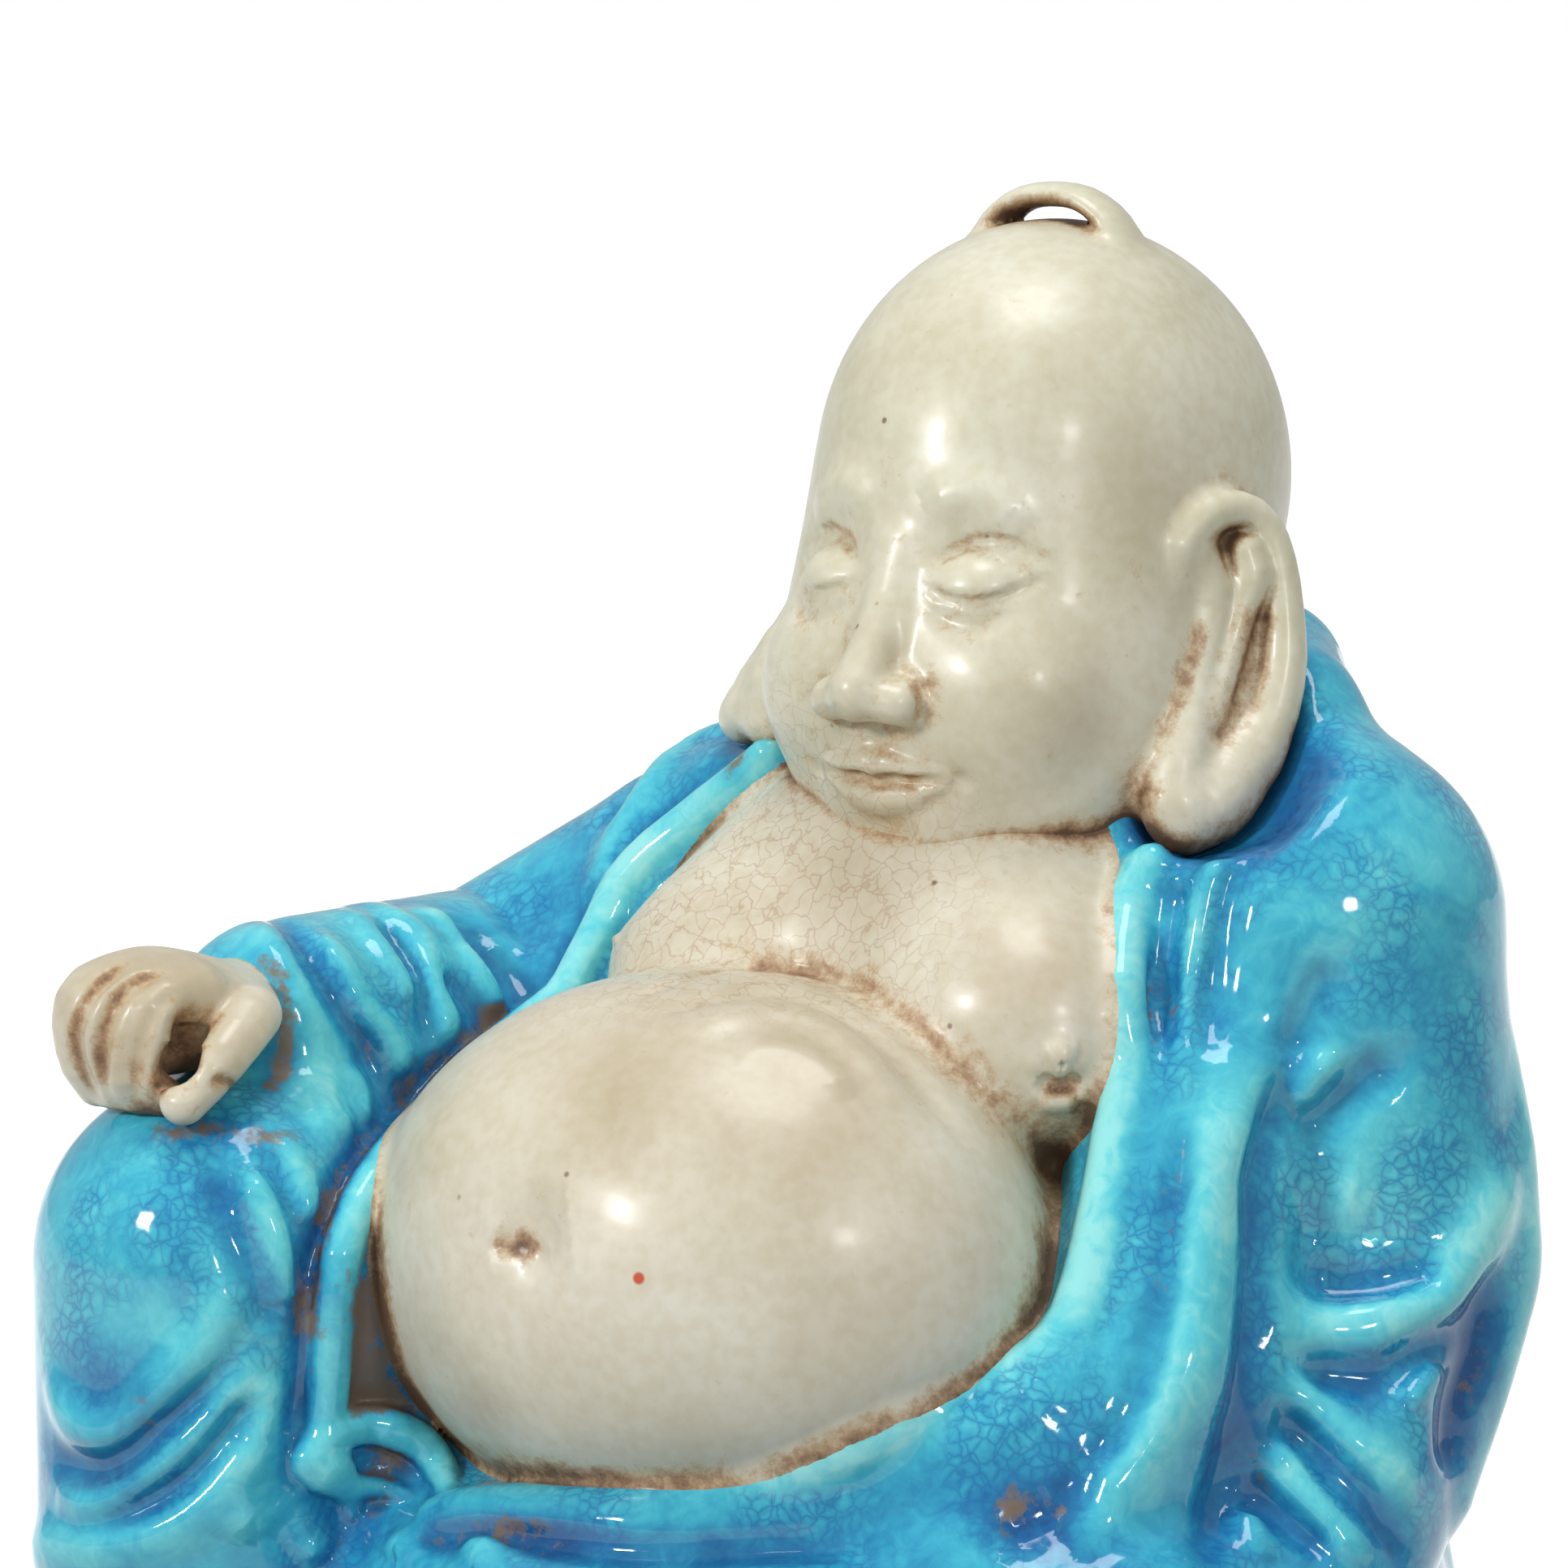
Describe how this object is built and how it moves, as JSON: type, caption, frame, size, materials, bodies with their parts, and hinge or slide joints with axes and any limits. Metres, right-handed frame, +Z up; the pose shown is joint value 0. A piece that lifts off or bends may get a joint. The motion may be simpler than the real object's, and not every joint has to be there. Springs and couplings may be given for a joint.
{
  "type": "ceramic laughing buddha",
  "caption": "Seated stoneware figure with a bare belly, a turquoise glazed robe, one raised knee and a strap loop on the crown, hollow with a vent in the floor.",
  "frame": {"origin": "on the flat underside, under the figure's lap, where the foot mount is", "axes": "+Z up, the figure faces -Y, +X to the figure's own left"},
  "size_m": [0.2175, 0.2068, 0.2499],
  "materials": {
    "turquoise_glaze": "glossy pooled turquoise lead-alkali glaze",
    "ivory_satin_glaze": "thin satin ivory glaze with iron wash in the creases and fine crackle",
    "bare_stoneware": "unglazed matte biscuit"
  },
  "bodies": {
    "root": {"trunk": "ivory_satin_glaze", "head": "ivory_satin_glaze", "crown_loop": "ivory_satin_glaze", "right_ear": "ivory_satin_glaze", "left_ear": "ivory_satin_glaze", "right_sleeve": "turquoise_glaze", "left_sleeve": "turquoise_glaze", "right_leg_skirt": "turquoise_glaze", "left_leg_skirt": "turquoise_glaze", "robe_body": "turquoise_glaze", "left_robe_edging": "turquoise_glaze", "right_robe_edging": "turquoise_glaze", "sash_knot": "turquoise_glaze", "sash_bow": "turquoise_glaze", "sash_tail": "turquoise_glaze", "right_hand": "ivory_satin_glaze", "left_hand": "ivory_satin_glaze", "right_foot": "ivory_satin_glaze", "left_foot": "ivory_satin_glaze", "floor_slab": "bare_stoneware"}
  },
  "joints": []
}
